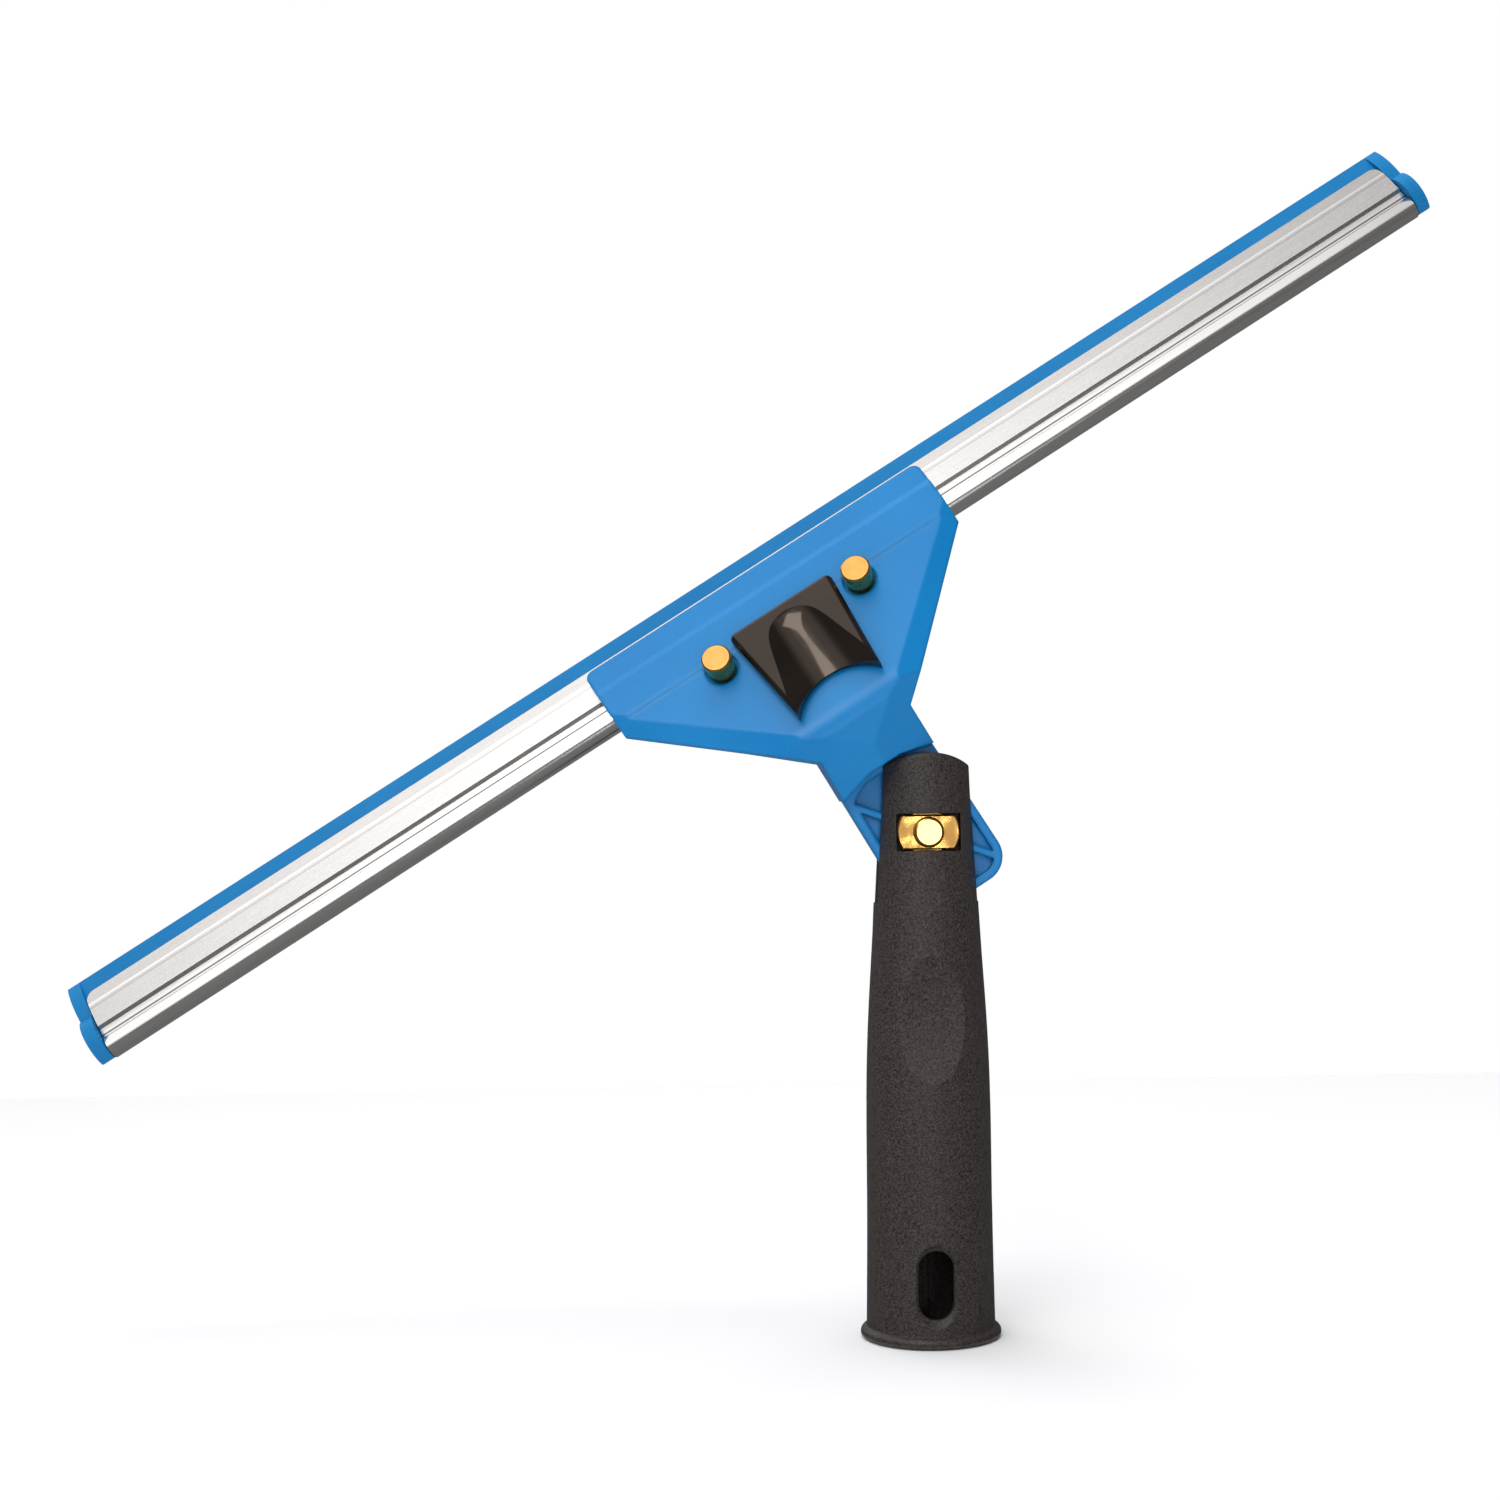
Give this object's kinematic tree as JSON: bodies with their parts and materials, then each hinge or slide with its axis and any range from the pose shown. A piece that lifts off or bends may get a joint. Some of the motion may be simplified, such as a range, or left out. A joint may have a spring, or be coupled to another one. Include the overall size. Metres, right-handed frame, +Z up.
{
  "type": "window cleaning squeegee",
  "caption": "Window squeegee with a swivelling clamp head, sprung thumb release, steel channel, rubber blade and a socketed pole handle.",
  "frame": {"origin": "centre of the pole socket's mouth, on the handle's end face", "axes": "+Z up the handle, -Y towards the side with the thumb clip, +X to the right seen from that side"},
  "size_m": [0.3099, 0.0323, 0.2687],
  "materials": {
    "black_nylon": "finely textured",
    "brass": "turned",
    "blue_nylon": "satin moulded",
    "black_gloss": "polished",
    "stainless": "bright rolled",
    "zinc_steel": "zinc plated",
    "blue_rubber": "smooth"
  },
  "bodies": {
    "handle": {"handle_grip": "black_nylon", "rear_cap": "black_nylon", "pivot_sleeve": "brass", "lock_spring": "zinc_steel"},
    "lock": {"lock_button": "brass", "lock_cone": "zinc_steel", "lock_screw": "zinc_steel"},
    "head": {"head_shell": "blue_nylon", "tang_bush": "brass", "base_plate": "blue_nylon", "base_screws": "zinc_steel", "stud_left": "brass", "stud_right": "brass", "stud_nuts": "zinc_steel", "clip_spring_left": "zinc_steel", "clip_spring_right": "zinc_steel"},
    "clip": {"thumb_clip": "black_gloss", "clip_carriage": "zinc_steel", "clip_screws": "zinc_steel"},
    "bar": {"channel": "stainless", "rubber_blade": "blue_rubber", "blade_clips": "stainless"}
  },
  "joints": [
    {"name": "head_swivel", "type": "hinge", "parent": "handle", "child": "head", "pos_m": [0, 0, 0.11], "axis": [0, -1, 0], "range_deg": [-122.6, 57.4]},
    {"name": "lock_press", "type": "slide", "parent": "handle", "child": "lock", "axis": [0, 1, 0], "range_m": [0, 0.0018], "stiffness_N_per_m": 1500, "springref_m": -0.002, "deforming": ["lock_spring"]},
    {"name": "clip_release", "type": "slide", "parent": "head", "child": "clip", "axis": [0.4757, -0.4695, -0.7438], "range_m": [0, 0.0035], "stiffness_N_per_m": 1500, "springref_m": -0.004, "deforming": ["clip_spring_left", "clip_spring_right"]},
    {"name": "bar_slide", "type": "slide", "parent": "head", "child": "bar", "axis": [0.8425, 0, 0.5388], "range_m": [-0.128, 0.128]}
  ]
}
